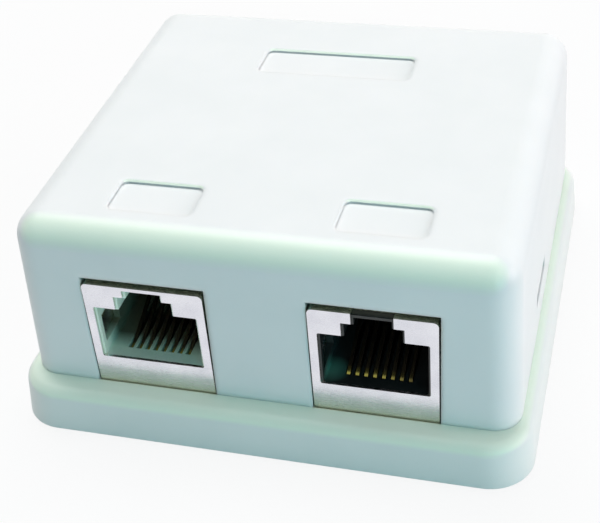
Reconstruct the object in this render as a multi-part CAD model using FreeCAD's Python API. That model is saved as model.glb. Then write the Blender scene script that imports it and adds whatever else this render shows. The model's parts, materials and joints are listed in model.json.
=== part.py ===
import FreeCAD, Part
import math
import os

# Surface mount jack box for two shielded keystone jacks, in millimetres.
# X is the width, Y runs from the jack faces (front, -Y) to the back and Z is up.
# The origin is the middle of the underside that lies on the desk or wall. The
# pieces are built round the middle of the cover and moved there at the end.
# The base is one moulding with a keystone port frame for each jack. The cover
# drops over it and is held by two hooked tongues that snap into its side walls.

# ---- base -------------------------------------------------------------------
base_width = 61.7
base_depth = 60.45
base_draft_angle = 4.5
base_corner_radius = 5.3
rim_height = 5.9
rim_edge_radius = 1.4
foot_chamfer = 0.3
side_lip = 1.75           # the foot stands out this far beyond the cover's sides and back
front_lip = 3.5           # and this far in front of the jacks
rim_wall = 1.6            # outer wall and top of the hollow rim
floor_thickness = 2.0
coaming_height = 2.0      # upstand inside the cover, above the rim
coaming_thickness = 1.6
groove_rib_thickness = 1.2
groove_rib_pitch = 14.0

# ---- cover ------------------------------------------------------------------
box_height = 27.4
cover_wall = 2.0
roof_thickness = 2.2
draft_angle = 2.0
cover_edge_radius = 3.2     # round its corners and the edge of its roof alike
cover_inner_radius = 1.5
stiffener_thickness = 1.2
stiffener_depth = 1.0

label_depth = 0.45
label_corner_radius = 0.8
label_rim_chamfer = 0.2
port_label_width = 9.9
port_label_depth = 5.6
port_label_y = -19.45
box_label_width = 19.7
box_label_depth = 5.8
box_label_y = 13.0

breakout_width = 14.0
breakout_height = 8.0
breakout_groove = 1.0
breakout_skin = 0.6

# ---- ports in the cover and the base -----------------------------------------
port_pitch = 26.2
window_side_gap = 0.175   # between a jack and the window round it
window_top_gap = 0.6
port_gap = 0.15           # between a jack and the port frame round it
face_setback = 0.2        # jack face behind the foot of the cover's front wall
frame_wall = 1.6
frame_bridge = 1.8
frame_depth = 8.2
sill_skin = 1.5           # plastic left over the hollow under a port's sill
guide_height = 4.0
guide_length = 14.0
cradle_thickness = 2.0

# ---- snap tongues --------------------------------------------------------------
snap_y = -6.8
snap_z = 10.95            # height of the slot's middle
snap_slot_length = 8.0
snap_slot_height = 1.5
snap_clearance = 0.2
tongue_width = 7.2
tongue_thickness = 1.4
tongue_foot = 1.0
hook_reach = 0.9

# ---- wall fixing and cable entry -------------------------------------------------
screw_hole_radius = 2.1
screw_spacing = 40.0
screw_y = 17.0
screw_boss_radius = 4.2
screw_boss_height = 1.2
cable_entry_width = 16.0
cable_entry_depth = 10.0
cable_entry_y = 17.0
cable_entry_radius = 2.0
tie_anchor_y = 6.0
tie_anchor_width = 7.0
tie_anchor_depth = 3.0
tie_anchor_height = 4.6
tie_slot_width = 4.0
tie_slot_height = 2.2

# ---- keystone jack -------------------------------------------------------------
jack_width = 14.35
jack_height = 16.1
jack_top = 20.3           # above the underside of the box
sheet = 0.35              # shield sheet metal
shield_gap = 0.05
shield_corner_radius = 0.6
shield_inner_chamfer = 0.25
front_shield_length = 24.0
rear_shield_length = 9.9
shield_joint_gap = 0.1
stop_tab_width = 8.0
stop_tab_drop = 0.8
stop_tab_y = 2.2
seam_width = 0.15         # where the shield's sheet meets along the top
seam_start_y = 3.0
lock_window_y = 13.0
lock_window_z = 10.0
lock_window_length = 3.0
lock_window_height = 2.0
lock_lug_rise = 0.25

opening_width = 12.45     # plug opening in the metal face
opening_bottom = 5.5      # above the underside of the jack
opening_height = 7.35
opening_corner_radius = 0.25
key_wide_width = 7.0
key_wide_top = 14.65
key_narrow_width = 4.7
key_strip = 0.45          # metal left above a closed keyway
key_notch_depth = 1.2
cavity_margin = 0.25      # housing walls inside the edge of the metal opening
cavity_depth = 13.0
key_depth = 10.0
housing_length = 20.0

ground_window_y = 1.2
ground_window_length = 4.0
ground_window_z = 7.2
ground_window_height = 3.6
ground_finger_height = 2.6
ground_finger_reach = 0.5

contact_count = 8
contact_pitch = 1.016
contact_width = 0.4
contact_thickness = 0.35
contact_bend_radius = 0.7
contact_bend_y = 2.9
contact_drop = 0.8        # a bend's axis below the cavity floor
closed_jack_drop = 0.5    # the contacts of the jack with the closed keyway lie this much lower
contact_slope = 22.0
contact_free_length = 9.2
contact_slot_gap = 0.11

latch_width = 6.0
latch_thickness = 0.95
latch_root_length = 2.0
latch_root_y = 17.5
latch_root_drop = 0.35
latch_tip_drop = 0.95

board_thickness = 1.0
board_margin = 0.2
block_length = 9.0
wire_rows = (-1, 1)
wires_in_row = 4
wire_pitch = 3.0
wire_slot_width = 1.1
wire_slot_depth = 3.4
wire_slot_length = 6.0
clip_width = 2.0
clip_thickness = 0.35
clip_height = 5.0
clip_slot_width = 0.4
clip_slot_depth = 2.6
clip_gap = 0.06
cap_flange = 0.9
cap_web = 2.6
cap_flange_length = 6.0
cable_radius = 3.6
cable_cradle_length = 5.0
cable_cradle_rise = 1.0

# ---- places worked out from the sizes above ------------------------------------
draft_slope = math.tan(math.radians(draft_angle))
base_draft_slope = math.tan(math.radians(base_draft_angle))
base_middle_y = (side_lip - front_lip) / 2
rim_inset = rim_wall + rim_height * base_draft_slope
cover_half_width = base_width / 2 - side_lip
cover_half_depth = (base_depth - front_lip - side_lip) / 2
cover_rise = box_height - rim_height
coaming_top = rim_height + coaming_height
coaming_clearance = port_gap
coaming_half_width = cover_half_width - cover_wall - coaming_clearance
coaming_half_depth = cover_half_depth - cover_wall - coaming_clearance
coaming_radius = max(cover_inner_radius - coaming_clearance, 0.5)
tray_half_width = coaming_half_width - coaming_thickness
tray_half_depth = coaming_half_depth - coaming_thickness
tray_radius = max(coaming_radius - coaming_thickness, 0.5)
face_y = -cover_half_depth + face_setback
jack_bottom = jack_top - jack_height
port_half_width = jack_width / 2 + port_gap
frame_top = jack_top + port_gap + frame_bridge
frame_half_width = port_half_width + frame_wall
frame_front_y = -cover_half_depth + cover_wall + (frame_top - rim_height) * draft_slope + 2 * port_gap
frame_back_y = frame_front_y + frame_depth
sill_top = jack_bottom - port_gap
port_centres = (-port_pitch / 2, port_pitch / 2)
window_width = jack_width + 2 * window_side_gap
window_top = jack_top + window_top_gap
jack_inner_width = jack_width - 2 * sheet - 2 * shield_gap
jack_inner_bottom = sheet + shield_gap
jack_inner_top = jack_height - sheet - shield_gap
cavity_width = opening_width - 2 * cavity_margin
cavity_floor = opening_bottom
board_back_y = housing_length + board_thickness
block_back_y = board_back_y + block_length
cap_back_y = block_back_y + shield_gap + cap_web
rear_shield_y = front_shield_length + shield_joint_gap
rear_shield_back_y = rear_shield_y + rear_shield_length
cable_z = jack_height / 2
cutter_reach = 5.0        # cutters run this far past the faces they cut


def block(x0, x1, y0, y1, z0, z1):
    """A plain block between two corners."""
    return Part.makeBox(x1 - x0, y1 - y0, z1 - z0, FreeCAD.Vector(x0, y0, z0))


def centred_block(x, y, width, depth, z0, z1):
    """A block with its plan centred on x, y."""
    return block(x - width / 2, x + width / 2, y - depth / 2, y + depth / 2, z0, z1)


def prism(points, plane, start, end):
    """A polygon in the XY, XZ or YZ plane, extruded from start to end along the third axis."""
    place = {
        "XY": (lambda a, b: FreeCAD.Vector(a, b, start), FreeCAD.Vector(0, 0, end - start)),
        "XZ": (lambda a, b: FreeCAD.Vector(a, start, b), FreeCAD.Vector(0, end - start, 0)),
        "YZ": (lambda a, b: FreeCAD.Vector(start, a, b), FreeCAD.Vector(end - start, 0, 0)),
    }
    corner, along = place[plane]
    outline = [corner(a, b) for a, b in points]
    return Part.Face(Part.makePolygon(outline + outline[:1])).extrude(along)


def edges_along(shape, direction, slant=0.1):
    """The straight edges that run along a direction, to within a slant."""
    found = []
    for edge in shape.Edges:
        if isinstance(edge.Curve, Part.Line):
            run = (edge.lastVertex().Point - edge.firstVertex().Point).normalize()
            if abs(run.dot(direction)) > 1 - slant:
                found.append(edge)
    return found


def rounded_block(x, y, width, depth, z0, z1, radius):
    """A block whose upright edges are rounded."""
    solid = centred_block(x, y, width, depth, z0, z1)
    return solid.makeFillet(radius, edges_along(solid, FreeCAD.Vector(0, 0, 1)))


def drafted_block(half_width, half_depth, z0, z1, slope, radius, round_top=False):
    """A block that narrows upwards by a slope, with its corners rounded, and its top edges too if asked."""
    inset = (z1 - z0) * slope
    # makeWedge narrows along Y, so it is made lying down and stood up
    solid = Part.makeWedge(
        -half_width, 0, -half_depth, -half_depth + inset, -half_width + inset,
        half_width, z1 - z0, half_depth, half_depth - inset, half_width - inset,
    )
    solid.rotate(FreeCAD.Vector(0, 0, 0), FreeCAD.Vector(1, 0, 0), 90)
    solid.translate(FreeCAD.Vector(0, 0, z0))
    rounded = edges_along(solid, FreeCAD.Vector(0, 0, 1))
    if round_top:
        rounded += edges_at_height(solid, z1)
    return solid.makeFillet(radius, rounded)


def edges_at_height(shape, z):
    """The edges that lie flat at a height."""
    return [edge for edge in shape.Edges if abs(edge.BoundBox.ZMin - z) + abs(edge.BoundBox.ZMax - z) < 1e-6]


def fuse(first, *others):
    """One clean solid from several that touch or overlap."""
    return first.multiFuse(list(others)).removeSplitter()


def cut(solid, *tools):
    """The solid with every tool taken away, one after another."""
    for tool in tools:
        solid = solid.cut(tool)
    return solid


# ---- base -------------------------------------------------------------------

def rim_groove():
    """The hollow under the rim, open below, with stiffening ribs left across it."""
    outer = rounded_block(
        0, base_middle_y, base_width - 2 * rim_inset, base_depth - 2 * rim_inset,
        -cutter_reach, rim_height - rim_wall, base_corner_radius - rim_wall,
    )
    inner = rounded_block(
        0, 0, 2 * coaming_half_width, 2 * coaming_half_depth,
        -2 * cutter_reach, rim_height, coaming_radius,
    )
    ribs = []
    for n in range(-1, 2):
        at = n * groove_rib_pitch
        ribs.append(centred_block(at, 0, groove_rib_thickness, 2 * base_depth, -cutter_reach, rim_height))
        ribs.append(centred_block(0, at, 2 * base_width, groove_rib_thickness, -cutter_reach, rim_height))
    webs = [
        block(x - frame_half_width, x + frame_half_width, -base_depth, 0, -cutter_reach, rim_height)
        for x in port_centres
    ]
    return cut(outer, inner, *ribs, *webs)


def port_frame(x):
    """The keystone port that holds one jack: sill, side walls, bridge and low guides behind."""
    frame = block(
        x - frame_half_width, x + frame_half_width, frame_front_y, frame_back_y,
        floor_thickness / 2, frame_top,
    )
    parts = [frame]
    for side in (-1, 1):
        inner = x + side * port_half_width
        outer = x + side * frame_half_width
        parts.append(block(
            min(inner, outer), max(inner, outer), frame_back_y, frame_back_y + guide_length,
            floor_thickness / 2, sill_top + guide_height,
        ))
    cradle_y = face_y + rear_shield_y + cradle_thickness
    parts.append(block(
        x - port_half_width, x + port_half_width, cradle_y, cradle_y + cradle_thickness,
        floor_thickness / 2, sill_top,
    ))
    return parts


def port_cutters(x):
    """The space one jack takes out of the base, its stop tab's notch and the hollow under the sill."""
    pocket = block(
        x - port_half_width, x + port_half_width, -cover_half_depth + face_setback - port_gap,
        frame_back_y + cutter_reach, sill_top, jack_top + port_gap,
    )
    notch = block(
        x - stop_tab_width / 2 - port_gap, x + stop_tab_width / 2 + port_gap,
        face_y + stop_tab_y - port_gap, face_y + stop_tab_y + sheet + port_gap,
        jack_bottom - stop_tab_drop - port_gap, sill_top + port_gap,
    )
    hollow = block(
        x - port_half_width + sill_skin, x + port_half_width - sill_skin,
        frame_front_y + sill_skin, frame_back_y - sill_skin,
        -cutter_reach, sill_top - sill_skin,
    )
    return [pocket, notch, hollow]


def base():
    rim = drafted_block(base_width / 2, base_depth / 2, 0, rim_height, base_draft_slope, base_corner_radius)
    rim = rim.makeFillet(rim_edge_radius, edges_at_height(rim, rim_height))
    rim = rim.makeChamfer(foot_chamfer, edges_at_height(rim, 0))
    rim.translate(FreeCAD.Vector(0, base_middle_y, 0))
    coaming = rounded_block(
        0, 0, 2 * coaming_half_width, 2 * coaming_half_depth, floor_thickness, coaming_top, coaming_radius,
    )
    tray = rounded_block(
        0, 0, 2 * tray_half_width, 2 * tray_half_depth,
        floor_thickness, coaming_top + cutter_reach, tray_radius,
    )
    solid = cut(fuse(rim, coaming), tray, rim_groove())

    fittings = []
    for x in port_centres:
        fittings += port_frame(x)
    for x in (-screw_spacing / 2, screw_spacing / 2):
        fittings.append(Part.makeCylinder(
            screw_boss_radius, floor_thickness / 2 + screw_boss_height,
            FreeCAD.Vector(x, screw_y, floor_thickness / 2),
        ))
    fittings.append(centred_block(
        0, tie_anchor_y, tie_anchor_width, tie_anchor_depth,
        floor_thickness / 2, floor_thickness + tie_anchor_height,
    ))
    solid = fuse(solid, *fittings)

    cutters = []
    for x in port_centres:
        cutters += port_cutters(x)
    for x in (-screw_spacing / 2, screw_spacing / 2):
        cutters.append(Part.makeCylinder(
            screw_hole_radius, floor_thickness + screw_boss_height + 2 * cutter_reach,
            FreeCAD.Vector(x, screw_y, -cutter_reach),
        ))
    cutters.append(rounded_block(
        0, cable_entry_y, cable_entry_width, cable_entry_depth, -cutter_reach, floor_thickness + cutter_reach,
        cable_entry_radius,
    ))
    cutters.append(centred_block(
        0, tie_anchor_y, tie_slot_width, 2 * tie_anchor_depth,
        floor_thickness, floor_thickness + tie_slot_height,
    ))
    # gaps in the coaming for the snap tongues and for a cable through the breakout
    for side in (-1, 1):
        cutters.append(centred_block(
            side * coaming_half_width, snap_y, 4 * coaming_thickness, tongue_width + 2 * snap_clearance,
            rim_height, coaming_top + cutter_reach,
        ))
        cutters.append(tongue_pocket(side))
    cutters.append(centred_block(
        0, coaming_half_depth, breakout_width, 4 * coaming_thickness, rim_height, coaming_top + cutter_reach,
    ))
    return cut(solid, *cutters)


# ---- snap tongues --------------------------------------------------------------

def tongue_outer_x():
    """Outer face of a tongue, clear of the cover's inner wall beside the hook."""
    wall_at_tip = cover_half_width - cover_wall - (tongue_tip_z() - rim_height) * draft_slope
    return wall_at_tip - snap_clearance


def tongue_tip_z():
    """The tongue ends level with the top of its slot."""
    return snap_z + snap_slot_height / 2


def tongue_pocket(side):
    """Room that the tongue and its foot take out of the base, down to the floor."""
    length = tongue_thickness + tongue_foot
    x = side * (tongue_outer_x() - length / 2)
    return centred_block(
        x, snap_y, length + 2 * snap_clearance, tongue_width + 2 * snap_clearance,
        floor_thickness, coaming_top + cutter_reach,
    )


def snap_tongue(side):
    """A springy upright tongue whose hook stands in the slot in the cover's side wall."""
    outer = tongue_outer_x()
    inner = outer - tongue_thickness
    hook_under = snap_z - snap_slot_height / 2 + snap_clearance
    tip = tongue_tip_z()
    profile = [
        (inner - tongue_foot, floor_thickness),
        (outer, floor_thickness),
        (outer, hook_under),
        (outer + hook_reach, hook_under),
        (outer + hook_reach, hook_under + (tip - hook_under) / 3),
        (outer, tip),
        (inner + tongue_thickness / 4, tip),
        (inner, floor_thickness + 2 * tongue_foot),
        (inner - tongue_foot, floor_thickness + tongue_foot),
    ]
    return prism(
        [(side * x, z) for x, z in profile], "XZ", snap_y - tongue_width / 2, snap_y + tongue_width / 2,
    )


# ---- cover ------------------------------------------------------------------

def cover_stiffeners():
    """Ribs inside the side and back walls, from above the coaming to the roof."""
    foot = coaming_top + coaming_clearance + snap_clearance
    ribs = []
    for side in (-1, 1):
        x = side * (cover_half_width - cover_wall)
        reach = 2 * (stiffener_depth + cover_rise * draft_slope)
        for step in (-1, 1):
            y = snap_y + step * (tongue_width / 2 + stiffener_thickness + snap_clearance)
            ribs.append(centred_block(x, y, reach, stiffener_thickness, foot, box_height))
        ribs.append(centred_block(
            side * breakout_width, cover_half_depth - cover_wall, stiffener_thickness, reach,
            foot, box_height,
        ))
    for x in port_centres:
        for step in (-1, 1):
            ribs.append(block(
                x + step * port_half_width / 2 - stiffener_thickness / 2,
                x + step * port_half_width / 2 + stiffener_thickness / 2,
                frame_front_y, frame_back_y, frame_top + 2 * port_gap, box_height,
            ))
    return ribs


def label_recess(x, y, width, depth):
    """A shallow recess in the roof for a paper label."""
    return rounded_block(
        x, y, width, depth, box_height - label_depth, box_height + cutter_reach, label_corner_radius,
    )


def breakout_cutters():
    """A groove inside the back wall round a panel that can be broken out for a surface cable."""
    wall_y = cover_half_depth - cover_wall
    top = rim_height + breakout_height
    skin_y = cover_half_depth - breakout_height * draft_slope - breakout_skin
    grooves = []
    for side in (-1, 1):
        x = side * (breakout_width / 2 - breakout_groove / 2)
        grooves.append(block(
            x - breakout_groove / 2, x + breakout_groove / 2, wall_y - cutter_reach / 2, skin_y,
            rim_height - cutter_reach, top,
        ))
    grooves.append(block(
        -breakout_width / 2, breakout_width / 2, wall_y - cutter_reach / 2, skin_y,
        top - breakout_groove, top,
    ))
    return grooves


def cover():
    outer = drafted_block(
        cover_half_width, cover_half_depth, rim_height, box_height, draft_slope, cover_edge_radius,
        round_top=True,
    )
    inner = drafted_block(
        cover_half_width - cover_wall, cover_half_depth - cover_wall,
        rim_height, box_height - roof_thickness, draft_slope, cover_inner_radius,
    )
    solid = cut(outer, inner)
    ribs = [rib.common(outer) for rib in cover_stiffeners()]
    solid = fuse(solid, *ribs)

    cutters = [label_recess(0, box_label_y, box_label_width, box_label_depth)]
    for x in port_centres:
        cutters.append(label_recess(x, port_label_y, port_label_width, port_label_depth))
    roof_outline = [edge.hashCode() for edge in edges_at_height(solid, box_height)]
    solid = cut(solid, *cutters)
    label_rims = [edge for edge in edges_at_height(solid, box_height) if edge.hashCode() not in roof_outline]
    solid = solid.makeChamfer(label_rim_chamfer, label_rims)

    cutters = []
    for x in port_centres:
        cutters.append(centred_block(
            x, -cover_half_depth, window_width, 2 * (cover_wall + frame_bridge),
            rim_height - cutter_reach, window_top,
        ))
    for side in (-1, 1):
        cutters.append(centred_block(
            side * cover_half_width, snap_y, 4 * cover_wall, snap_slot_length,
            snap_z - snap_slot_height / 2, snap_z + snap_slot_height / 2,
        ))
    return cut(solid, *cutters, *breakout_cutters())


# ---- keystone jack, in its own frame: face in the XZ plane, underside at z = 0 ----

def plug_opening(margin, depth, key_reach, key_top):
    """The stepped RJ45 opening, running back from the face, with the keyway on top."""
    half = opening_width / 2 - margin
    main = block(
        -half, half, -cutter_reach, depth, opening_bottom, opening_bottom + opening_height - margin,
    )
    main = main.makeFillet(opening_corner_radius, edges_along(main, FreeCAD.Vector(0, 1, 0)))
    wide = block(
        -key_wide_width / 2 + margin, key_wide_width / 2 - margin, -cutter_reach, key_reach,
        opening_bottom + opening_height / 2, key_wide_top - margin,
    )
    narrow = block(
        -key_narrow_width / 2 + margin, key_narrow_width / 2 - margin, -cutter_reach, key_reach,
        opening_bottom + opening_height / 2, key_top,
    )
    return fuse(main, wide, narrow)


def shield_tube(y0, y1, end_y0, end_y1):
    """A folded sheet metal tube with one closed end between end_y0 and end_y1."""
    outer = block(-jack_width / 2, jack_width / 2, y0, y1, 0, jack_height)
    outer = outer.makeFillet(shield_corner_radius, edges_along(outer, FreeCAD.Vector(0, 1, 0)))
    inner = block(
        -jack_width / 2 + sheet, jack_width / 2 - sheet, y0 - cutter_reach, y1 + cutter_reach,
        sheet, jack_height - sheet,
    )
    inner = inner.makeChamfer(shield_inner_chamfer, edges_along(inner, FreeCAD.Vector(0, 1, 0)))
    end = outer.common(block(-jack_width, jack_width, end_y0, end_y1, -jack_height, 2 * jack_height))
    return fuse(outer.cut(inner), end)


def front_shield(open_keyway):
    """The bright metal front of the jack, folded back round the plastic housing."""
    solid = shield_tube(0, front_shield_length, 0, sheet)
    key_top = jack_height + cutter_reach if open_keyway else jack_height - key_strip
    cutters = [plug_opening(0, sheet + shield_gap, key_notch_depth if open_keyway else sheet, key_top)]
    cutters.append(block(
        -latch_width / 2 - port_gap, latch_width / 2 + port_gap, latch_root_y - port_gap,
        latch_root_y + latch_root_length + port_gap, -cutter_reach, 2 * sheet,
    ))
    cutters.append(block(
        -seam_width / 2, seam_width / 2, seam_start_y, front_shield_length + cutter_reach,
        jack_height - 2 * sheet, jack_height + cutter_reach,
    ))
    for side in (-1, 1):
        cutters.append(centred_block(
            side * jack_width / 2, ground_window_y + ground_window_length / 2, 4 * sheet,
            ground_window_length, ground_window_z, ground_window_z + ground_finger_height,
        ))
        cutters.append(centred_block(
            side * jack_width / 2, lock_window_y, 4 * sheet, lock_window_length,
            lock_window_z, lock_window_z + lock_window_height,
        ))
    solid = cut(solid, *cutters)

    fingers = []
    for side in (-1, 1):
        wall = jack_width / 2 - sheet
        back = ground_window_y + ground_window_length
        profile = [
            (wall + sheet, back), (wall, back), (wall - ground_finger_reach, ground_window_y + 3 * sheet),
            (wall - ground_finger_reach, ground_window_y + sheet),
            (wall - ground_finger_reach + sheet, ground_window_y + sheet),
            (wall - ground_finger_reach + sheet, ground_window_y + 3 * sheet),
        ]
        fingers.append(prism(
            [(side * x, y) for x, y in profile], "XY",
            ground_window_z, ground_window_z + ground_finger_height,
        ))
    stop_tab = block(
        -stop_tab_width / 2, stop_tab_width / 2, stop_tab_y, stop_tab_y + sheet, -stop_tab_drop, sheet,
    )
    return fuse(solid, stop_tab, *fingers)


def housing(contact_axis_z):
    """The jack's plastic body: plug cavity, contact comb and the springy keystone latch below."""
    half = jack_inner_width / 2
    body = block(-half, half, sheet, housing_length, jack_inner_bottom, jack_inner_top)
    body = body.makeChamfer(shield_inner_chamfer, edges_along(body, FreeCAD.Vector(0, 1, 0)))
    cutters = [plug_opening(cavity_margin, cavity_depth, key_depth, jack_inner_top - sheet)]
    slot_front = contact_bend_y - contact_bend_radius - contact_thickness / 2 - contact_slot_gap
    contact_run_z = contact_axis_z - contact_bend_radius
    run_bottom = contact_run_z - contact_thickness / 2 - contact_slot_gap
    run_top = contact_run_z + contact_thickness / 2 + contact_slot_gap
    for x in contact_places():
        width = contact_width + 2 * contact_slot_gap
        cutters.append(block(
            x - width / 2, x + width / 2, slot_front, cavity_depth,
            run_bottom, cavity_floor + contact_slot_gap,
        ))
        cutters.append(block(
            x - width / 2, x + width / 2, cavity_depth - contact_slot_gap, housing_length + cutter_reach,
            run_bottom, run_top,
        ))
    for side in (-1, 1):
        cutters.append(centred_block(
            side * half, ground_window_y + ground_window_length / 2, 2 * (half - cavity_width / 2) + sheet,
            ground_window_length + sheet, ground_window_z - sheet, ground_window_z + ground_window_height,
        ))
    tip_y = frame_back_y - face_y + port_gap
    latch = prism(
        [
            (latch_root_y, jack_inner_bottom + sheet),
            (latch_root_y, -latch_root_drop),
            (tip_y, -latch_tip_drop),
            (tip_y, -latch_tip_drop - latch_thickness),
            (latch_root_y + latch_root_length, -latch_root_drop - latch_thickness),
            (latch_root_y + latch_root_length, jack_inner_bottom + sheet),
        ],
        "YZ", -latch_width / 2, latch_width / 2,
    )
    lugs = []
    lug_start = lock_window_y - lock_window_length / 2 + port_gap
    lug_end = lock_window_y + lock_window_length / 2 - port_gap
    for side in (-1, 1):
        crest = side * (half + lock_lug_rise)
        lugs.append(prism(
            [(side * half, lug_start), (crest, lug_end), (side * half, lug_end)], "XY",
            lock_window_z + port_gap, lock_window_z + lock_window_height - port_gap,
        ))
    return fuse(cut(body, *cutters), latch, *lugs)


def contact_places():
    """X of each contact, centred on the jack."""
    middle = (contact_count - 1) / 2
    return [(n - middle) * contact_pitch for n in range(contact_count)]


def contact_wire(x, axis_z):
    """One contact: a run under the cavity floor, a tight bend and a spring arm sloping back."""
    slope = math.radians(contact_slope)
    along = FreeCAD.Vector(0, math.cos(slope), math.sin(slope))
    outward = FreeCAD.Vector(0, -math.sin(slope), math.cos(slope))
    half_turn = (math.radians(270) + math.radians(90) + slope) / 2
    middle = FreeCAD.Vector(0, math.cos(half_turn), math.sin(half_turn))
    down = FreeCAD.Vector(0, 0, -1)
    left = x - contact_width / 2
    centre = FreeCAD.Vector(left, contact_bend_y, axis_z)
    back = FreeCAD.Vector(0, housing_length - contact_bend_y, 0)
    outer = contact_bend_radius + contact_thickness / 2
    inner = contact_bend_radius - contact_thickness / 2
    reach = along * contact_free_length
    edges = [
        Part.LineSegment(centre + down * outer + back, centre + down * outer).toShape(),
        Part.Arc(centre + down * outer, centre + middle * outer, centre + outward * outer).toShape(),
        Part.LineSegment(centre + outward * outer, centre + outward * outer + reach).toShape(),
        Part.LineSegment(centre + outward * outer + reach, centre + outward * inner + reach).toShape(),
        Part.LineSegment(centre + outward * inner + reach, centre + outward * inner).toShape(),
        Part.Arc(centre + outward * inner, centre + middle * inner, centre + down * inner).toShape(),
        Part.LineSegment(centre + down * inner, centre + down * inner + back).toShape(),
        Part.LineSegment(centre + down * inner + back, centre + down * outer + back).toShape(),
    ]
    return Part.Face(Part.Wire(edges)).extrude(FreeCAD.Vector(contact_width, 0, 0))


def contacts(axis_z):
    return Part.makeCompound([contact_wire(x, axis_z) for x in contact_places()])


def circuit_board():
    half = jack_inner_width / 2 - board_margin
    return block(
        -half, half, housing_length, board_back_y,
        jack_inner_bottom + board_margin, jack_inner_top - board_margin,
    )


def wire_places():
    """X of each wire slot in a row, centred on the jack."""
    middle = (wires_in_row - 1) / 2
    return [(n - middle) * wire_pitch for n in range(wires_in_row)]


def block_face_z(row):
    """Height of the wire block's upper or lower face."""
    middle = jack_height / 2
    half = middle - jack_inner_bottom - cap_flange - shield_gap
    return middle + row * half


def clip_y():
    return block_back_y - wire_slot_length / 2


def wire_block():
    """The plastic block behind the board, with a row of wire slots above and below."""
    half = jack_inner_width / 2 - board_margin
    solid = block(-half, half, board_back_y, block_back_y, block_face_z(-1), block_face_z(1))
    cutters = []
    for row in wire_rows:
        face = block_face_z(row)
        for x in wire_places():
            slot = sorted((face - row * wire_slot_depth, face + row * cutter_reach))
            cutters.append(block(
                x - wire_slot_width / 2, x + wire_slot_width / 2,
                block_back_y - wire_slot_length, block_back_y + cutter_reach, *slot,
            ))
            pocket = sorted((face - row * (clip_height + clip_gap), face + row * cutter_reach))
            cutters.append(centred_block(
                x, clip_y(), clip_width + 2 * clip_gap, clip_thickness + 2 * clip_gap, *pocket,
            ))
    return cut(solid, *cutters)


def wire_clips():
    """Forked metal clips that bite the wires, one in each slot."""
    clips = []
    for row in wire_rows:
        face = block_face_z(row)
        for x in wire_places():
            body = sorted((face, face - row * clip_height))
            fork = sorted((face + row * cutter_reach, face - row * clip_slot_depth))
            clip = centred_block(x, clip_y(), clip_width, clip_thickness, *body)
            clips.append(clip.cut(centred_block(x, clip_y(), clip_slot_width, 4 * clip_thickness, *fork)))
    return Part.makeCompound(clips)


def wire_cap():
    """The cap that presses the wires home, with a hole for the cable in its web."""
    half = jack_inner_width / 2 - board_margin
    outer = block(
        -half, half, block_back_y - cap_flange_length, cap_back_y, jack_inner_bottom, jack_inner_top,
    )
    inside = block(
        -jack_width, jack_width, board_back_y - cutter_reach, block_back_y + shield_gap,
        block_face_z(-1) - shield_gap, block_face_z(1) + shield_gap,
    )
    return cut(outer, inside, cable_bore(block_back_y - cutter_reach, cap_back_y + cutter_reach))


def cable_bore(y0, y1):
    return Part.makeCylinder(cable_radius, y1 - y0, FreeCAD.Vector(0, y0, cable_z), FreeCAD.Vector(0, 1, 0))


def rear_shield():
    """The metal back of the jack, with a half round cradle that the cable is tied to."""
    solid = shield_tube(rear_shield_y, rear_shield_back_y, rear_shield_back_y - sheet, rear_shield_back_y)
    cradle = Part.makeCylinder(
        cable_radius + sheet, cable_cradle_length + sheet,
        FreeCAD.Vector(0, rear_shield_back_y - sheet, cable_z), FreeCAD.Vector(0, 1, 0),
    )
    above = block(
        -jack_width, jack_width, rear_shield_back_y, rear_shield_back_y + 2 * cable_cradle_length,
        cable_z - cable_cradle_rise, 2 * jack_height,
    )
    solid = fuse(solid, cradle.cut(above))
    bore = cable_bore(rear_shield_back_y - cutter_reach, rear_shield_back_y + 2 * cable_cradle_length)
    return solid.cut(bore)


# ---- assembly ------------------------------------------------------------------

def jack_parts(side, x, open_keyway):
    """The pieces of one jack, moved from the jack's frame to its port."""
    contact_axis_z = cavity_floor - contact_drop
    if not open_keyway:
        contact_axis_z -= closed_jack_drop
    pieces = {
        "front_shield": front_shield(open_keyway),
        "housing": housing(contact_axis_z),
        "contacts": contacts(contact_axis_z),
        "circuit_board": circuit_board(),
        "wire_block": wire_block(),
        "wire_clips": wire_clips(),
        "wire_cap": wire_cap(),
        "rear_shield": rear_shield(),
    }
    place = FreeCAD.Vector(x, face_y, jack_bottom)
    return {f"{side}_jack_{name}": shape.translated(place) for name, shape in pieces.items()}


def all_parts():
    parts = {
        "base": base(),
        "cover": cover(),
        "left_snap_tongue": snap_tongue(-1),
        "right_snap_tongue": snap_tongue(1),
    }
    parts.update(jack_parts("left", port_centres[0], open_keyway=False))
    parts.update(jack_parts("right", port_centres[1], open_keyway=True))
    to_base_middle = FreeCAD.Vector(0, -base_middle_y, 0)
    return {node: shape.translated(to_base_middle) for node, shape in parts.items()}


os.makedirs("parts", exist_ok=True)
for node, shape in all_parts().items():
    shape.exportStep(f"parts/{node}.step")
    state = "valid" if shape.isValid() else "INVALID"
    print(node, state, len(shape.Solids), "solids", round(shape.Volume, 1), "mm3")
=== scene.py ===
import json
import math

import bpy
from mathutils import Matrix, Vector


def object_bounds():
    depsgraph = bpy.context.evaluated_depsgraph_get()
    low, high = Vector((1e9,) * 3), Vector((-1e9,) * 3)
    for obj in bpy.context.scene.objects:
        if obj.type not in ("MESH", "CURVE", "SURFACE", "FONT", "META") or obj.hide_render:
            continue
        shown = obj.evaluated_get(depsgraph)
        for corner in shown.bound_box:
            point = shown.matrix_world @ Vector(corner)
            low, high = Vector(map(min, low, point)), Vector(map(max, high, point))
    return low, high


# A white surface mount box with two shielded network jacks, on a pale studio floor.
# All lengths are in metres.
MM = 0.001

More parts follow.
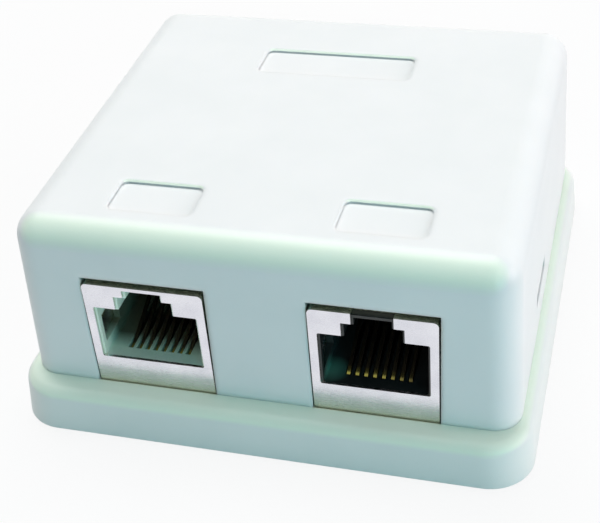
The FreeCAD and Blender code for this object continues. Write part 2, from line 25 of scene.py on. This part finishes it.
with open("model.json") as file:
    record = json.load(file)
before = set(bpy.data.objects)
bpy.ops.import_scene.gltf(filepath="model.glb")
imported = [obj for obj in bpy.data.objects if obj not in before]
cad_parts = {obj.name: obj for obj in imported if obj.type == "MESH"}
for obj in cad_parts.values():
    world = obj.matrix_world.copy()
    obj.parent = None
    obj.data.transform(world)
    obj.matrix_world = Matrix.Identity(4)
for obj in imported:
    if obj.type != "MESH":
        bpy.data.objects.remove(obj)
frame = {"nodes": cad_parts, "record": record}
cad_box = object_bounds()


# ---- node helpers --------------------------------------------------------------

# Most values of a noise texture lie between these two.
NOISE_LOW = 0.3
NOISE_HIGH = 0.7
# Rays that look round each point for its nooks or its edges.
LOOKUP_RAYS = 8
# A Mix node's colour sockets, by number because its other kinds of socket have the same names.
MIX_FIRST_COLOUR = 6
MIX_SECOND_COLOUR = 7
MIX_COLOUR_RESULT = 2


def emptied_tree(owner):
    """The node tree of a material or a world, with its nodes taken out."""
    owner.use_nodes = True
    owner.node_tree.nodes.clear()
    return owner.node_tree


def new_material(name):
    """A material of one principled shader; returns the material, its node tree and the shader."""
    material = bpy.data.materials.new(name)
    tree = emptied_tree(material)
    output = tree.nodes.new("ShaderNodeOutputMaterial")
    shader = tree.nodes.new("ShaderNodeBsdfPrincipled")
    tree.links.new(shader.outputs["BSDF"], output.inputs["Surface"])
    return material, tree, shader


def object_position(tree, stretch=(1.0, 1.0, 1.0)):
    """The surface point in the object's own space, the shared frame at rest, scaled along its axes."""
    source = tree.nodes.new("ShaderNodeTexCoord")
    mapping = tree.nodes.new("ShaderNodeMapping")
    mapping.inputs["Scale"].default_value = stretch
    tree.links.new(source.outputs["Object"], mapping.inputs["Vector"])
    return mapping.outputs["Vector"]


def noise(tree, position, feature_size, detail=2.0, roughness=0.5):
    """Noise whose features are about feature_size across."""
    node = tree.nodes.new("ShaderNodeTexNoise")
    node.inputs["Scale"].default_value = 1.0 / feature_size
    node.inputs["Detail"].default_value = detail
    node.inputs["Roughness"].default_value = roughness
    tree.links.new(position, node.inputs["Vector"])
    return node.outputs["Fac"]


def ramp(tree, value, start, end, low=0.0, high=1.0):
    """low to high as a value runs from start to end, held outside them."""
    node = tree.nodes.new("ShaderNodeMapRange")
    node.inputs["From Min"].default_value = start
    node.inputs["From Max"].default_value = end
    node.inputs["To Min"].default_value = low
    node.inputs["To Max"].default_value = high
    tree.links.new(value, node.inputs["Value"])
    return node.outputs["Result"]


def colour_between(tree, value, first, second):
    """A colour that a noise runs from first to second."""
    node = tree.nodes.new("ShaderNodeValToRGB")
    stops = node.color_ramp.elements
    for stop, position, colour in zip(stops, (NOISE_LOW, NOISE_HIGH), (first, second)):
        stop.position = position
        stop.color = (*colour, 1.0)
    tree.links.new(value, node.inputs["Fac"])
    return node.outputs["Color"]


def mixed(tree, share, first, second):
    """A colour between two, where either is a plain colour or a node's output."""
    node = tree.nodes.new("ShaderNodeMix")
    node.data_type = "RGBA"
    tree.links.new(share, node.inputs["Factor"])
    for number, colour in ((MIX_FIRST_COLOUR, first), (MIX_SECOND_COLOUR, second)):
        if isinstance(colour, tuple):
            node.inputs[number].default_value = (*colour, 1.0)
        else:
            tree.links.new(colour, node.inputs[number])
    return node.outputs[MIX_COLOUR_RESULT]


def mixed_shader(tree, share, first, second):
    """A shader between two."""
    node = tree.nodes.new("ShaderNodeMixShader")
    for number, output in enumerate((share, first, second)):
        tree.links.new(output, node.inputs[number])
    return node.outputs["Shader"]


def along(tree, axis, start, end):
    """0 to 1 as the surface point's X, Y or Z runs from start to end."""
    split = tree.nodes.new("ShaderNodeSeparateXYZ")
    tree.links.new(object_position(tree), split.inputs["Vector"])
    return ramp(tree, split.outputs[axis], start, end)


def near(tree, place, reach):
    """1 at a place, falling to 0 at its reach."""
    away = tree.nodes.new("ShaderNodeVectorMath")
    away.operation = "DISTANCE"
    away.inputs[1].default_value = place
    tree.links.new(object_position(tree), away.inputs[0])
    return ramp(tree, away.outputs["Value"], reach, 0.0)


def facing(tree, direction, start, end):
    """0 to 1 as the surface turns to face a direction, by the cosine between them."""
    source = tree.nodes.new("ShaderNodeTexCoord")
    turn = tree.nodes.new("ShaderNodeVectorMath")
    turn.operation = "DOT_PRODUCT"
    turn.inputs[1].default_value = direction
    tree.links.new(source.outputs["Normal"], turn.inputs[0])
    return ramp(tree, turn.outputs["Value"], start, end)


def openness(tree, distance, start, end):
    """0 in a nook and 1 in the open, by how little is in the way within a distance."""
    node = tree.nodes.new("ShaderNodeAmbientOcclusion")
    node.samples = LOOKUP_RAYS
    node.inputs["Distance"].default_value = distance
    return ramp(tree, node.outputs["AO"], start, end)


def bump(tree, shader, heights, edge_radius=0.0):
    """Bump from (height value, depth) pairs, chained, over edges softened to a radius."""
    normal = None
    if edge_radius:
        softened = tree.nodes.new("ShaderNodeBevel")
        softened.samples = LOOKUP_RAYS
        softened.inputs["Radius"].default_value = edge_radius
        normal = softened.outputs["Normal"]
    for height, depth in heights:
        node = tree.nodes.new("ShaderNodeBump")
        node.inputs["Strength"].default_value = 1.0
        node.inputs["Distance"].default_value = depth
        tree.links.new(height, node.inputs["Height"])
        if normal is not None:
            tree.links.new(normal, node.inputs["Normal"])
        normal = node.outputs["Normal"]
    tree.links.new(normal, shader.inputs["Normal"])


def tint_and_roughen(tree, shader, tint, value, roughness, swing):
    """Give a shader its tint, and a roughness that a noise swings to either side."""
    tree.links.new(tint, shader.inputs["Base Color"])
    swung = ramp(tree, value, NOISE_LOW, NOISE_HIGH, roughness - swing, roughness + swing)
    tree.links.new(swung, shader.inputs["Roughness"])


def scatter_light(shader, weight, radius, scale):
    """Let light soak into a plastic, by a radius for each of red, green and blue times a scale."""
    shader.inputs["Subsurface Weight"].default_value = weight
    shader.inputs["Subsurface Radius"].default_value = radius
    shader.inputs["Subsurface Scale"].default_value = scale


# ---- plastics ------------------------------------------------------------------

PLASTIC_ROUGHNESS_SWING = 0.05

MOULDED_IOR = 1.52
MOULDED_CLOUD_SIZE = 9 * MM
MOULDED_GRAIN_SIZE = 0.22 * MM
SINK_WAVE_SIZE = 14 * MM
SINK_WAVE_DEPTH = 0.02 * MM
MOULDED_SCATTER_RADIUS = (1.0, 0.95, 0.85)
MOULDED_SCATTER_SCALE = 0.8 * MM

# Painted shade in the case's narrow gaps: colour, then distance, start and end of openness.
PAINTED_NOOK_SHADE_PLASTIC = (0.16, 0.19, 0.17)
PAINTED_NOOK_SHADE_PLASTIC_RANGE = (1.5 * MM, 0.08, 0.42)

# Painted greenish light on the forward edge of the roof and on the rim, which face up and forward:
# its colour, then direction, start and end of facing.
PAINTED_MINT_LIGHT = (0.84, 0.97, 0.82)
COVER_PAINTED_MINT_LIGHT = ((0.0, -0.71, 0.71), 0.76, 0.96)
BASE_PAINTED_MINT_LIGHT = ((0.0, -0.50, 0.87), 0.60, 0.85)

HOUSING_IOR = 1.55
HOUSING_CLOUD_SIZE = 3 * MM
HOUSING_CLOUD_DEPTH = 0.01 * MM
HOUSING_GRAIN_SIZE = 0.18 * MM
HOUSING_SCATTER_RADIUS = (0.9, 1.0, 0.85)
HOUSING_SCATTER_SCALE = 0.3 * MM

# Painted shade down the sockets: how far back daylight reaches into them, along Y.
SOCKET_LIT = -24.6 * MM
SOCKET_DARK = -22.0 * MM

# A painted reflection of light off the case, on the lower left corner of the black insert.
PAINTED_GLINT_PLACE = (7.6 * MM, -24.0 * MM, 8.9 * MM)
PAINTED_GLINT_REACH = 2.4 * MM


def moulded_plastic(
    name, colour, shade, roughness, grain_depth, scatter=0.0, edge_radius=0.0, nook=None, mint=None,
):
    """Moulded plastic: a faint cloudy tint, a spark-eroded grain and soft sink waves.

    A nook colour paints shade into its narrow gaps, and a mint direction and range paint a greener light
    on what faces that way.
    """
    material, tree, shader = new_material(name)
    position = object_position(tree)
    cloud = noise(tree, position, MOULDED_CLOUD_SIZE, detail=3.0)
    grain = noise(tree, position, MOULDED_GRAIN_SIZE, detail=3.0, roughness=0.6)
    waves = noise(tree, position, SINK_WAVE_SIZE, detail=1.0)
    tint = colour_between(tree, cloud, shade, colour)
    if mint:
        # painted greenish light on what faces that way
        tint = mixed(tree, facing(tree, *mint), tint, PAINTED_MINT_LIGHT)
    # painted shade in the narrow gaps
    if nook:
        tint = mixed(tree, openness(tree, *PAINTED_NOOK_SHADE_PLASTIC_RANGE), nook, tint)
    tint_and_roughen(tree, shader, tint, grain, roughness, PLASTIC_ROUGHNESS_SWING)
    shader.inputs["IOR"].default_value = MOULDED_IOR
    if scatter:
        scatter_light(shader, scatter, MOULDED_SCATTER_RADIUS, MOULDED_SCATTER_SCALE)
    bump(tree, shader, [(waves, SINK_WAVE_DEPTH), (grain, grain_depth)], edge_radius)
    return material


def housing_plastic(name, colour, shade, painted_socket_shade, roughness, grain_depth, scatter=0.0, painted_glint=None):
    """A jack's insert: plastic with painted shade down its socket, and perhaps a painted reflection in a
    corner.
    """
    material, tree, shader = new_material(name)
    position = object_position(tree)
    cloud = noise(tree, position, HOUSING_CLOUD_SIZE, detail=3.0)
    grain = noise(tree, position, HOUSING_GRAIN_SIZE, detail=3.0, roughness=0.6)
    tint = colour_between(tree, cloud, shade, colour)
    # painted shade, taking over down the socket
    tint = mixed(tree, along(tree, "Y", SOCKET_LIT, SOCKET_DARK), tint, painted_socket_shade)
    if painted_glint:
        # painted teal reflection in one corner
        tint = mixed(tree, near(tree, PAINTED_GLINT_PLACE, PAINTED_GLINT_REACH), tint, painted_glint)
    tint_and_roughen(tree, shader, tint, grain, roughness, PLASTIC_ROUGHNESS_SWING)
    shader.inputs["IOR"].default_value = HOUSING_IOR
    if scatter:
        scatter_light(shader, scatter, HOUSING_SCATTER_RADIUS, HOUSING_SCATTER_SCALE)
    bump(tree, shader, [(cloud, HOUSING_CLOUD_DEPTH), (grain, grain_depth)])
    return material


# ---- metals and the circuit board ----------------------------------------------

# A small X scale draws the noise out into fine streaks along X, across the jacks' faces.
SHEET_STRETCH = (0.08, 1.0, 1.0)
SHEET_STREAK_SIZE = 0.12 * MM
SHEET_STREAK_DEPTH = 0.004 * MM
SHEET_CLOUD_SIZE = 3 * MM
SHEET_CLOUD_DEPTH = 0.01 * MM
SHEET_ROUGHNESS_SWING = 0.07

# Painted shade, olive and dim, on the metal in narrow gaps: colour, then distance, start and end of
# openness.
PAINTED_NOOK_SHADE_METAL = (0.60, 0.62, 0.48)
PAINTED_NOOK_SHADE_METAL_RANGE = (4 * MM, 0.45, 0.85)

# The contacts are bright at the bend nearest the opening with painted shade behind it, and those of the
# right jack have painted shade growing towards its right, where the shield shades them.
GOLD_LIGHT = (0.40, 0.37, 0.09)
GOLD_SHADE = (0.26, 0.23, 0.045)
GOLD_PAINTED_SHADE_RIGHT = (0.10, 0.085, 0.03)
GOLD_PAINTED_SHADE_DEEP = (0.060, 0.052, 0.032)
GOLD_ROUGHNESS = 0.36
GOLD_ROUGHNESS_SWING = 0.06
GOLD_MARK_STRETCH = (4.0, 0.3, 0.3)
GOLD_MARK_SIZE = 0.08 * MM
GOLD_MARK_DEPTH = 0.003 * MM
PAINTED_SHADE_FROM_X = 12.5 * MM
PAINTED_SHADE_FULL_AT_X = 17 * MM
BEND_LIT = -24.2 * MM
BEND_DARK = -23.3 * MM

BOARD_DARK_GREEN = (0.012, 0.10, 0.045)
BOARD_LIGHT_GREEN = (0.025, 0.19, 0.08)
BOARD_ROUGHNESS = 0.28
BOARD_ROUGHNESS_SWING = 0.06
BOARD_WEAVE_SIZE = 3 * MM
BOARD_WEAVE_DISTORTION = 6.0
BOARD_WEAVE_DEPTH = 0.02 * MM
BOARD_GRAIN_SIZE = 0.3 * MM
BOARD_GRAIN_DEPTH = 0.004 * MM


def tinned_sheet(name, colour, shade, roughness):
    """Rolled and tinned sheet metal: fine streaks one way and a cloudy sheen, with painted shade in its
    nooks.
    """
    material, tree, shader = new_material(name)
    streaks = noise(
        tree, object_position(tree, SHEET_STRETCH), SHEET_STREAK_SIZE, detail=4.0, roughness=0.65,
    )
    cloud = noise(tree, object_position(tree), SHEET_CLOUD_SIZE, detail=3.0)
    tint = colour_between(tree, cloud, shade, colour)
    # painted shade in the narrow gaps
    tint = mixed(tree, openness(tree, *PAINTED_NOOK_SHADE_METAL_RANGE), PAINTED_NOOK_SHADE_METAL, tint)
    tint_and_roughen(tree, shader, tint, streaks, roughness, SHEET_ROUGHNESS_SWING)
    shader.inputs["Metallic"].default_value = 1.0
    bump(tree, shader, [(streaks, SHEET_STREAK_DEPTH), (cloud, SHEET_CLOUD_DEPTH)])
    return material


def gold_plate(name):
    """Gold plated wire with faint drawing marks, and painted shade behind the bend and towards the right.
    """
    material, tree, shader = new_material(name)
    marks = noise(tree, object_position(tree, GOLD_MARK_STRETCH), GOLD_MARK_SIZE, detail=3.0)
    tint = colour_between(tree, marks, GOLD_SHADE, GOLD_LIGHT)
    # painted shade on the right jack's contacts, growing towards its right
    tint = mixed(tree, along(tree, "X", PAINTED_SHADE_FROM_X, PAINTED_SHADE_FULL_AT_X), tint, GOLD_PAINTED_SHADE_RIGHT)
    # painted shade down the socket, behind the bend
    tint = mixed(tree, along(tree, "Y", BEND_LIT, BEND_DARK), tint, GOLD_PAINTED_SHADE_DEEP)
    tint_and_roughen(tree, shader, tint, marks, GOLD_ROUGHNESS, GOLD_ROUGHNESS_SWING)
    shader.inputs["Metallic"].default_value = 1.0
    bump(tree, shader, [(marks, GOLD_MARK_DEPTH)])
    return material


def solder_mask(name):
    """Green circuit board lacquer over a weave of glass cloth."""
    material, tree, shader = new_material(name)
    position = object_position(tree)
    weave = tree.nodes.new("ShaderNodeTexWave")
    weave.inputs["Scale"].default_value = 1.0 / BOARD_WEAVE_SIZE
    weave.inputs["Distortion"].default_value = BOARD_WEAVE_DISTORTION
    tree.links.new(position, weave.inputs["Vector"])
    weave_height = weave.outputs["Fac"]
    grain = noise(tree, position, BOARD_GRAIN_SIZE)
    tint = colour_between(tree, weave_height, BOARD_DARK_GREEN, BOARD_LIGHT_GREEN)
    tint_and_roughen(tree, shader, tint, grain, BOARD_ROUGHNESS, BOARD_ROUGHNESS_SWING)
    bump(tree, shader, [(weave_height, BOARD_WEAVE_DEPTH), (grain, BOARD_GRAIN_DEPTH)])
    return material


# ---- materials on the pieces ---------------------------------------------------

materials = {
    # the cover: painted shade in its narrow gaps and painted greenish light on its forward edge
    "case_plastic": moulded_plastic(
        "case_plastic", colour=(0.83, 0.86, 0.855), shade=(0.80, 0.835, 0.83), roughness=0.40,
        grain_depth=0.006 * MM, scatter=0.12, edge_radius=0.9 * MM, nook=PAINTED_NOOK_SHADE_PLASTIC, mint=COVER_PAINTED_MINT_LIGHT,
    ),
    # the base: painted greenish light on its rim
    "base_plastic": moulded_plastic(
        "base_plastic", colour=(0.82, 0.87, 0.84), shade=(0.79, 0.845, 0.815), roughness=0.40,
        grain_depth=0.006 * MM, scatter=0.12, edge_radius=0.4 * MM, mint=BASE_PAINTED_MINT_LIGHT,
    ),
    "shield_metal": tinned_sheet(
        "shield_metal", colour=(0.80, 0.80, 0.85), shade=(0.70, 0.70, 0.76), roughness=0.26,
    ),
    # the inserts: painted shade down their sockets
    "white_housing_plastic": housing_plastic(
        "white_housing_plastic", colour=(0.84, 0.97, 0.84), shade=(0.76, 0.92, 0.77),
        painted_socket_shade=(0.15, 0.145, 0.10), roughness=0.30, grain_depth=0.003 * MM, scatter=0.35,
    ),
    # the black insert also has a painted teal reflection in a corner
    "black_housing_plastic": housing_plastic(
        "black_housing_plastic", colour=(0.020, 0.023, 0.023), shade=(0.014, 0.017, 0.017),
        painted_socket_shade=(0.035, 0.038, 0.037), roughness=0.34, grain_depth=0.004 * MM, painted_glint=(0.20, 0.50, 0.38),
    ),
    "contact_gold": gold_plate("contact_gold"),
    "clip_metal": tinned_sheet(
        "clip_metal", colour=(0.74, 0.73, 0.70), shade=(0.64, 0.63, 0.60), roughness=0.24,
    ),
    "board_green": solder_mask("board_green"),
    "block_plastic": moulded_plastic(
        "block_plastic", colour=(0.70, 0.72, 0.69), shade=(0.64, 0.66, 0.63), roughness=0.38,
        grain_depth=0.005 * MM, scatter=0.1,
    ),
    "cap_plastic": moulded_plastic(
        "cap_plastic", colour=(0.58, 0.61, 0.61), shade=(0.52, 0.55, 0.55), roughness=0.40,
        grain_depth=0.005 * MM,
    ),
}

slot_of = {part["node"]: part["material_slot"] for part in frame["record"]["subparts"]}
slot_of["base"] = "base_plastic"    # the base's plastic is a little greener than the cover's
for node_name, piece in frame["nodes"].items():
    piece.data.materials.clear()
    piece.data.materials.append(materials[slot_of[node_name]])


# ---- camera --------------------------------------------------------------------

CAMERA_PLACE = Vector((37.84, -125.36, 105.84)) * MM
CAMERA_AZIMUTH = math.radians(17.980)    # round from the front, towards the right
CAMERA_ELEVATION = math.radians(37.295)
CAMERA_ROLL = math.radians(-5.247)
CAMERA_LENS = 75.474                     # in millimetres, as is the sensor's width
CAMERA_SENSOR_WIDTH = 36.0
CAMERA_SEES_FROM = 5 * MM
CAMERA_SEES_TO = 20.0


def add_camera():
    """The camera stands right of and above the jacks, and leans a little."""
    back = Vector((
        math.sin(CAMERA_AZIMUTH) * math.cos(CAMERA_ELEVATION),
        -math.cos(CAMERA_AZIMUTH) * math.cos(CAMERA_ELEVATION),
        math.sin(CAMERA_ELEVATION),
    ))
    right = Vector((0, 0, 1)).cross(back).normalized()
    up = back.cross(right)
    rolled_right = math.cos(CAMERA_ROLL) * right + math.sin(CAMERA_ROLL) * up
    rolled_up = math.cos(CAMERA_ROLL) * up - math.sin(CAMERA_ROLL) * right
    data = bpy.data.cameras.new("camera")
    data.lens = CAMERA_LENS
    data.sensor_width = CAMERA_SENSOR_WIDTH
    data.clip_start = CAMERA_SEES_FROM
    data.clip_end = CAMERA_SEES_TO
    camera = bpy.data.objects.new("camera", data)
    bpy.context.scene.collection.objects.link(camera)
    turn = Matrix((rolled_right, rolled_up, back)).transposed().to_4x4()
    camera.matrix_world = Matrix.Translation(CAMERA_PLACE) @ turn
    bpy.context.scene.camera = camera


# ---- studio --------------------------------------------------------------------

FLOOR_SIZE = 4.0
FLOOR_DROP = 0.02 * MM
FLOOR_COLOUR = (0.80, 0.82, 0.82)
FLOOR_WHITENESS = 0.88

SKY_COLOUR = (0.72, 0.93, 1.0)
SKY_STRENGTH = 0.22

# Each lamp's name, place, width, height, watts and colour. All aim near the middle of the box.
LAMP_TARGET = Vector((0, 0, 12)) * MM
SOFTBOXES = (
    ("overhead", Vector((-0.10, 0.19, 0.64)), 0.45, 0.40, 3.8, (1.0, 0.95, 0.94)),
    ("right", Vector((0.62, 0.05, 0.20)), 0.45, 0.30, 2.1, (1.0, 0.78, 0.78)),
    ("front_fill", Vector((0.22, -0.26, 0.10)), 0.16, 0.16, 0.2, (0.10, 0.85, 1.0)),
)


def seen_directly(tree):
    """1 where the camera, a reflection or a see-through piece looks at the surface, 0 for light."""
    path = tree.nodes.new("ShaderNodeLightPath")
    seen = path.outputs["Is Camera Ray"]
    for also in ("Is Glossy Ray", "Is Transmission Ray"):
        either = tree.nodes.new("ShaderNodeMath")
        either.operation = "MAXIMUM"
        tree.links.new(seen, either.inputs[0])
        tree.links.new(path.outputs[also], either.inputs[1])
        seen = either.outputs["Value"]
    return seen


def studio_floor(name):
    """A matt floor that the camera sees as nearly plain white, with some of its shadow kept."""
    material = bpy.data.materials.new(name)
    tree = emptied_tree(material)
    output = tree.nodes.new("ShaderNodeOutputMaterial")
    matt = tree.nodes.new("ShaderNodeBsdfDiffuse")
    matt.inputs["Color"].default_value = (*FLOOR_COLOUR, 1.0)
    white = tree.nodes.new("ShaderNodeEmission")
    share = tree.nodes.new("ShaderNodeMath")
    share.operation = "MULTIPLY"
    share.inputs[1].default_value = FLOOR_WHITENESS
    tree.links.new(seen_directly(tree), share.inputs[0])
    surface = mixed_shader(
        tree, share.outputs["Value"], matt.outputs["BSDF"], white.outputs["Emission"],
    )
    tree.links.new(surface, output.inputs["Surface"])
    return material


def add_floor():
    """A large pale floor just under the box."""
    half = FLOOR_SIZE / 2
    corners = [(-half, -half, 0), (half, -half, 0), (half, half, 0), (-half, half, 0)]
    mesh = bpy.data.meshes.new("floor")
    mesh.from_pydata(corners, [], [(0, 1, 2, 3)])
    floor = bpy.data.objects.new("floor", mesh)
    floor.location.z = cad_box[0][2] - FLOOR_DROP
    bpy.context.scene.collection.objects.link(floor)
    mesh.materials.append(studio_floor("floor_white"))


def background(tree, colour, strength):
    """One plain colour of sky."""
    node = tree.nodes.new("ShaderNodeBackground")
    node.inputs["Color"].default_value = (*colour, 1.0)
    node.inputs["Strength"].default_value = strength
    return node.outputs["Background"]


def add_world():
    """An even sky that lights the box, and plain white where the camera or a reflection looks out."""
    world = bpy.data.worlds.new("studio")
    bpy.context.scene.world = world
    tree = emptied_tree(world)
    output = tree.nodes.new("ShaderNodeOutputWorld")
    sky = background(tree, SKY_COLOUR, SKY_STRENGTH)
    white = background(tree, (1.0, 1.0, 1.0), 1.0)
    tree.links.new(mixed_shader(tree, seen_directly(tree), sky, white), output.inputs["Surface"])


def add_softbox(name, place, width, height, watts, colour):
    """A rectangular area lamp aimed at the box."""
    data = bpy.data.lights.new(name, "AREA")
    data.shape = "RECTANGLE"
    data.size = width
    data.size_y = height
    data.energy = watts
    data.color = colour
    lamp = bpy.data.objects.new(name, data)
    lamp.location = place
    lamp.rotation_euler = (LAMP_TARGET - place).to_track_quat("-Z", "Y").to_euler()
    bpy.context.scene.collection.objects.link(lamp)


add_camera()
add_floor()
add_world()
for softbox in SOFTBOXES:
    add_softbox(*softbox)

bpy.context.scene.view_settings.view_transform = "Standard"
